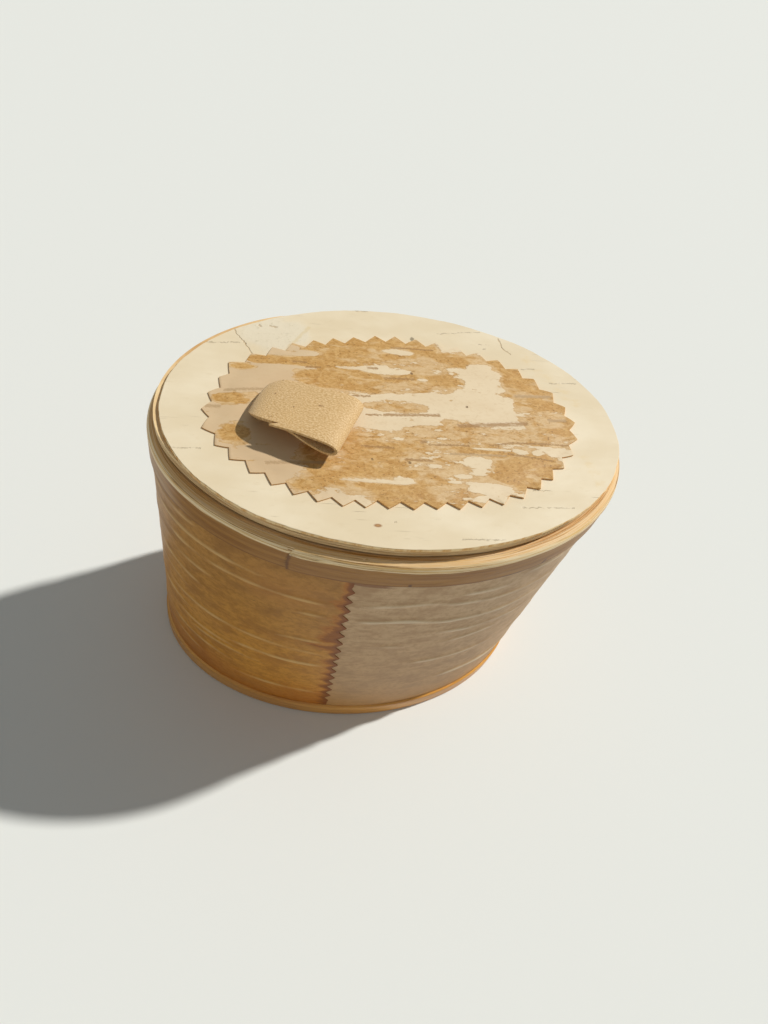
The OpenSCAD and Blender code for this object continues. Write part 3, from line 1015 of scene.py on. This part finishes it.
relief = mottle * 0.4 - pores * 0.5 - lines * 0.8 - cracks * 0.9 + papery * flakes * 0.8
paint(top_sheet, f.wear(colour, 0.4 + mottle * 0.15, relief, 0.14 * MM))

# %% [markdown]
# ## Golden bark
#
# The pinked oval shows the brown inner layers wherever the pale skin has come
# away. The painted tones give the layout; noise along the grain tears their
# edges, and finer noise mottles the gold. Long pores, grey or brown, are
# listed.

# %% Golden bark
GREY_PORES = ((-51.5, 5.4, -40, 6.7, 0.75), (-56.5, -1, -53, -0.9, 0.9), (-39, -19.8, -23, -18.6, 0.8),
              (38, 11.8, 49.5, 12.8, 0.95), (14, -12.7, 31, -12.2, 0.55), (47.5, 2.8, 53, 3.4, 0.9))
BROWN_PORES = ((-5, 0.2, 12, 1.6, 0.75), (18, -2, 39.5, 0.8, 1.15), (-9, 18.5, -6.2, 18.6, 0.68),
               (-14, 6.8, -9, 7, 0.52), (-10.2, -0.2, -6, 0, 0.52), (0.5, -15.8, 8, -15.8, 0.6),
               (32, -11.4, 46, -12.8, 0.45), (27, -8.6, 34, -7.1, 0.45), (34, -7.1, 52, -6.4, 0.45),
               (-12, -12, -3, -12, 0.52), (8, -9.9, 20, -9.3, 0.45), (5.8, -9.1, 6.8, -8.8, 0.9),
               (-1, 28.1, 12.5, 28.6, 0.45), (-4, 14.8, 5, 15.3, 0.6), (-28, 16.8, -24, 17, 0.6),
               (-32, 18.5, -28, 18.6, 0.6))
DARK_SPOTS = ((4.6, 17.7, 0.65), (21.2, 5.8, 0.6), (-9.5, -16.4, 0.5), (1.4, -17, 0.6))

f = Finish("golden_bark")
golden = f.attribute("golden")
torn = f.lid_grain(70, 420, detail=5, rough=0.6)
ragged = f.lid_grain(420, 900, rough=0.62)
tone = golden + (torn - 0.5) * 4.6 + (ragged - 0.5) * 2.6
mask = f.ease(tone, -0.25, 0.1)
blotch = f.lid_grain(130, 330, rough=0.6, bend=0.5)
mottle = f.lid_grain(520, 900, detail=6, rough=0.7, bend=0.8)
mottled = f.ease(mottle, 0.34, 0.66)
gold = f.coats(
    f.mix(mottled, (182, 134, 68), (211, 169, 105)),
    (f.ease(golden + (blotch - 0.5) * 3.5, 0.95, 0.35), 1,
     f.mix(mottled, (206, 168, 114), (220, 188, 140))),
    (f.ease(blotch, 0.5, 0.68), 0.45, (190, 140, 72)))
soft = f.lid_grain(40, 120, detail=3)
east = f.node("SeparateXYZ", None, f.place()) + (soft - 0.5) * 0.02
pale = f.coats(
    f.mix(f.ease(east, -0.035, -0.005), (211, 181, 140), (231, 209, 172)),
    (f.ease(soft, 0.4, 0.65), 0.35, (220, 194, 154)),
    (f.ease(mottle, 0.48, 0.72), 0.4, (206, 176, 132)))
speckled = f.ease(f.lid_grain(1000, 1700, detail=2), 0.59, 0.66) * f.ease(blotch, 0.42, 0.6) * mask
level = f.shaken((220, 500, 1), 0.0013)
broken = f.ease(f.noise(f.place((300, 900, 1)), detail=3), 0.22, 0.42)
grey = f.node("Clamp", None, f.marks(level, GREY_PORES))
brown = f.node("Clamp", None, f.marks(level, BROWN_PORES)) * broken
dark = f.marks(level, DARK_SPOTS)
colour = f.coats(
    f.mix(mask, pale, gold),
    (mask * f.ease(tone, 0.45, 0.05), 0.35, (178, 130, 66)),
    (speckled, 0.75, (142, 100, 48)),
    (grey, 0.75, (180, 149, 108)),
    (brown, 0.8, (162, 120, 70)),
    (dark, 0.8, (112, 78, 40)),
    (f.attribute("cut_side"), 1, (214, 164, 100)))
relief = mottle * mask * 0.6 - mask * 0.6 - grey * 0.3 - brown * 0.5 - dark + ragged * 0.2
paint(pinked, f.wear(colour, 0.42 + mottle * 0.2, relief, 0.16 * MM))

# %% [markdown]
# ## Bark on the walls
#
# Handled bark turns orange-brown, more so at the foot and beside the glued
# seam. Lower down it is also painted lighter, as painted light against the shade
# there. Its UV map is the flat sheet, so the pattern runs round the box and
# stops at the seam, where the two ends of the sheet have different tones.
#
# Where a ply shows its cut edge, as on the rim, it is cream in fine layers
# with brown cracks between them.

# %% Cut edges of bark
def cream_edge(f):
    """The worn, layered cut edge of bark."""
    place = f.node("CombineXYZ", None, f.along(45), f.attribute("out") * 3.0, f.height() * 3000)
    layers = f.noise(place, detail=5, rough=0.65)
    crack = f.noise(place, scale=0.55, rough=0.7)
    return f.coats(
        f.mix(f.ease(layers, 0.35, 0.62), (231, 190, 122), (251, 229, 187)),
        (f.ease(crack, 0.5, 0.6), 0.6, (204, 146, 68)),
        (f.ease(crack, 0.575, 0.635), 0.85, (134, 82, 30)))


# %% Wall bark
f = Finish("wall_bark", coat=0.04, gloss=0.2)
to_end, z = f.attribute("to_end"), f.height()
streak = f.grain(40, 260, detail=5, rough=0.6)
cloud = f.grain(24, 34)
mottle = f.grain(420, 520, detail=6, rough=0.72)
blotch = f.grain(95, 130, rough=0.6)
warm = f.ease(to_end + (cloud - 0.5) * 60, 190, 20)
# Towards the foot the wall turns more orange, the bark's own tone, and lighter: painted light against the
# shade low on the wall
lower_tone_and_painted_light = f.ease(z, 110 * MM, 0)
dark = f.mix(warm, (168, 130, 88), f.mix(lower_tone_and_painted_light, (146, 98, 36), (176, 112, 34)))
foot = f.ease(z + (cloud - 0.5) * 0.03 + (blotch - 0.5) * 0.01, 0.034, 0.002)
stain = f.attribute("stain") + (blotch - 0.5) * 3.0 + (streak - 0.5) * 2.2
# A line of glue right of the seam, below the band
glue = f.ease(z + (streak - 0.5) * 0.002, BAND_FOOT - 3.2 * MM, BAND_FOOT - 2.3 * MM)
glue *= f.ease(f.along(), 15 * MM, 11 * MM)
colour = f.coats(
    f.mix(warm, f.mix(lower_tone_and_painted_light, (200, 166, 125), (192, 149, 101)),
          f.mix(lower_tone_and_painted_light, (184, 130, 54), (222, 155, 56))),
    (f.ease(blotch, 0.42, 0.66), 0.7, dark),
    (f.ease(mottle, 0.42, 0.64), 0.6, dark),
    (f.ease(streak, 0.5, 0.72), 0.22, f.mix(warm, (182, 142, 98), (172, 114, 48))),
    (f.ease(cloud, 0.52, 0.74), 0.45, f.mix(warm, (186, 148, 104), (186, 124, 52))),
    (foot, 0.55 + warm * 0.3, f.mix(warm, (190, 134, 66), (182, 100, 22))),
    (f.ease(f.grain(260, 420, detail=2), 0.73, 0.77), 0.6, (110, 74, 38)),
    (f.ease(f.attribute("welt"), 0.25, 0.95), 0.72, f.mix(warm, (226, 206, 172), (226, 186, 120))),
    (f.ease(stain, 0.05, 0.5), 0.7, (178, 104, 24)),
    (f.ease(stain, 0.45, 0.85), 0.85, (142, 80, 14)),
    # A dark brown line along the sheet's cut end: glue stain, and painted shade for the line under the
    # raised end
    (f.ease(to_end + (blotch - 0.5) * 5, 2.2, 0.6), 0.75, (124, 64, 8)),
    (glue, 0.75, (124, 70, 22)),
    (f.ease(z, RIM_TOP - 1.3 * MM, RIM_TOP - 1.0 * MM), 1,
     f.mix(0.45, cream_edge(f), (206, 156, 90))))
relief = blotch * 0.4 + mottle * 0.3 + streak * 0.2
paint(outer, f.wear(colour, 0.36 + mottle * 0.2, relief, 0.2 * MM))

# %% Inner bark
def inner_bark():
    f = Finish("inner_bark")
    streak = f.grain(30, 500, detail=5, rough=0.6)
    colour = f.coats(
        f.mix(f.ease(streak, 0.35, 0.7), (216, 180, 130), (190, 146, 94)),
        (f.ease(f.grain(25, 40, detail=3), 0.45, 0.7), 0.4, (198, 148, 92)),
        (f.ease(f.height(), RIM_TOP - 0.9 * MM, RIM_TOP - 0.6 * MM), 1,
         f.mix(0.5, cream_edge(f), (196, 144, 78))))
    return f.wear(colour, 0.5, streak, 0.12 * MM)


for made in (inner, plug, frame["nodes"]["lid_lining"]):
    paint(made, inner_bark())

# %% Band bark
# Along the band and up it, in mm, with their width
BAND_NICKS = ((20.3, -0.4, 30, -0.2, 0.5), (34.2, 0, 34.2, 1.0, 0.8), (62, 0.2, 68, 0.2, 0.5),
              (75.5, -0.2, 76.2, 1.8, 0.9))

f = Finish("band_bark", gloss=0.25)
streak = f.grain(30, 500, detail=5, rough=0.6)
cloud = f.grain(26, 90)
mottle = f.grain(300, 700, rough=0.6)
z = f.height()
uneven = (streak - 0.5) * 0.0024 + (cloud - 0.5) * 0.002
colour = f.coats(
    f.mix(f.ease(streak, 0.35, 0.7), (166, 116, 48), (140, 90, 28)),
    (f.ease(cloud, 0.52, 0.74), 0.6, (192, 154, 104)),
    (f.ease(mottle, 0.5, 0.72), 0.3, (136, 90, 42)),
    (f.ease(z + (streak - 0.5) * 0.001, BAND_FOOT + 0.9 * MM, BAND_FOOT), 0.7, (116, 70, 28)),
    # Painted shade: a dark line along the band's lapping end, where it stands over the band below
    (f.ease(f.along() + (mottle - 0.5) * 0.0015, 1.1 * MM, 0.5 * MM), 0.75, (104, 62, 24)),
    (f.marks(f.place((1, 1, 0), uv=True), BAND_NICKS), 0.85, (92, 54, 20)),
    (f.ease(z + uneven, RIM_TOP - 3.5 * MM, RIM_TOP - 2.9 * MM), 1, cream_edge(f)))
paint(band, f.wear(colour, 0.4, streak * 0.6 + mottle * 0.4, 0.16 * MM))

# %% Hoop bark and edge bark
f = Finish("hoop_bark", coat=0.15)
streak = f.grain(24, 400, detail=5, rough=0.6)
colour = f.coats(
    f.mix(f.ease(streak, 0.35, 0.7), (220, 158, 72), (188, 122, 42)),
    (f.ease(f.grain(30, 60, detail=3), 0.45, 0.75), 0.5, (222, 162, 76)))
paint(hoop, f.wear(colour, 0.38, streak, 0.15 * MM))

f = Finish("edge_bark")
layer = f.grain(50, 1500, detail=5, rough=0.65)
colour = f.coats(
    f.mix(f.ease(layer, 0.3, 0.7), (204, 158, 100), (243, 214, 162)),
    (f.ease(f.grain(40, 200, detail=3), 0.5, 0.7), 0.5, (196, 150, 90)),
    # Painted shade: the grooves between the layers, where the face lies deeper, are darkened
    (f.ease(f.attribute("out"), STRIP_FACE / MM - 0.1, STRIP_FACE / MM - 0.4), 0.7, (96, 54, 18)))
paint(edge_strip, f.wear(colour, 0.5, layer, 0.2 * MM))

# %% [markdown]
# ## Boards and leather
#
# The boards show only inside and underneath: plain planed wood. The leather is
# tan with a fine pebbled grain, darker in its pores.

# %% Board and leather
def board():
    f = Finish("planed_board")
    rings = f.noise(f.place((12, 260, 1), math.radians(4)), bend=0.6)
    fibre = f.noise(f.place((90, 3000, 1)))
    colour = f.coats(
        f.mix(f.ease(rings, 0.35, 0.65), (212, 170, 116), (186, 138, 84)),
        (f.ease(fibre, 0.5, 0.75), 0.3, (160, 112, 64)))
    return f.wear(colour, 0.6, fibre, 0.08 * MM)


def leather():
    f = Finish("tan_leather", sheen=0.15)
    grain = f.grain(2400, 2400, detail=3, rough=0.6)
    pebble = f.node("TexVoronoi", None, Vector=f.place((2100, 2100, 1), uv=True), Scale=1.0)
    colour = f.coats(
        f.mix(f.ease(grain, 0.36, 0.66), (198, 158, 100), (230, 196, 144)),
        (f.ease(f.grain(120, 120, detail=3), 0.4, 0.7), 0.3, (206, 168, 108)),
        (f.ease(f.grain(520, 520, detail=2), 0.7, 0.75), 0.75, (140, 98, 52)))
    return f.wear(colour, 0.6, grain * 0.6 + pebble * 0.4, 0.14 * MM)


for name in ("base_board", "lid_core"):
    paint(frame["nodes"][name], board())
paint(loop, leather())
paint(frame["nodes"]["strip_tails"], leather())

# %% [markdown]
# ## Floor and light
#
# A pale matt floor, one sharp key light high on the right behind the box, which
# throws the shadow to the left as in the photograph, and an even pale sky for
# the rest. Together they light a level surface at about 1, so a colour renders
# about as it is written.

# %% Floor and light
FLOOR_COLOUR = rgb(231, 231, 223)
KEY_STRENGTH = 3.15
KEY_SOFTNESS = math.radians(2)
KEY_FROM = Vector((0.8, 0.32, 1.0))
SKY = 0.235

bm = bmesh.new()
bmesh.ops.create_grid(bm, x_segments=1, y_segments=1, size=4)
mesh = bpy.data.meshes.new("floor")
bm.to_mesh(mesh)
bm.free()
floor = add("floor", mesh)
paint(floor, Finish("floor").wear(FLOOR_COLOUR, 0.9))

key = add("key", bpy.data.lights.new("key", "SUN"))
key.data.energy = KEY_STRENGTH
key.data.angle = KEY_SOFTNESS
key.rotation_mode = "QUATERNION"
key.rotation_quaternion = (-KEY_FROM).to_track_quat("-Z", "Y")

world = bpy.data.worlds.new("studio")
bpy.context.scene.world = world
world.use_nodes = True
nodes, links = world.node_tree.nodes, world.node_tree.links
rays = nodes.new("ShaderNodeLightPath")
seen = nodes.new("ShaderNodeBackground")
seen.inputs["Color"].default_value = FLOOR_COLOUR
lit = nodes["Background"]
lit.inputs["Color"].default_value = (0.97, 1.03, 1.08, 1.0)
lit.inputs["Strength"].default_value = SKY
choose = nodes.new("ShaderNodeMixShader")
either = nodes.new("ShaderNodeMath")
either.operation = "MAXIMUM"
links.new(rays.outputs["Is Camera Ray"], either.inputs[0])
links.new(rays.outputs["Is Glossy Ray"], either.inputs[1])
links.new(either.outputs[0], choose.inputs[0])
links.new(lit.outputs[0], choose.inputs[1])
links.new(seen.outputs[0], choose.inputs[2])
links.new(choose.outputs[0], nodes["World Output"].inputs["Surface"])
bpy.context.scene.view_settings.view_transform = "Standard"
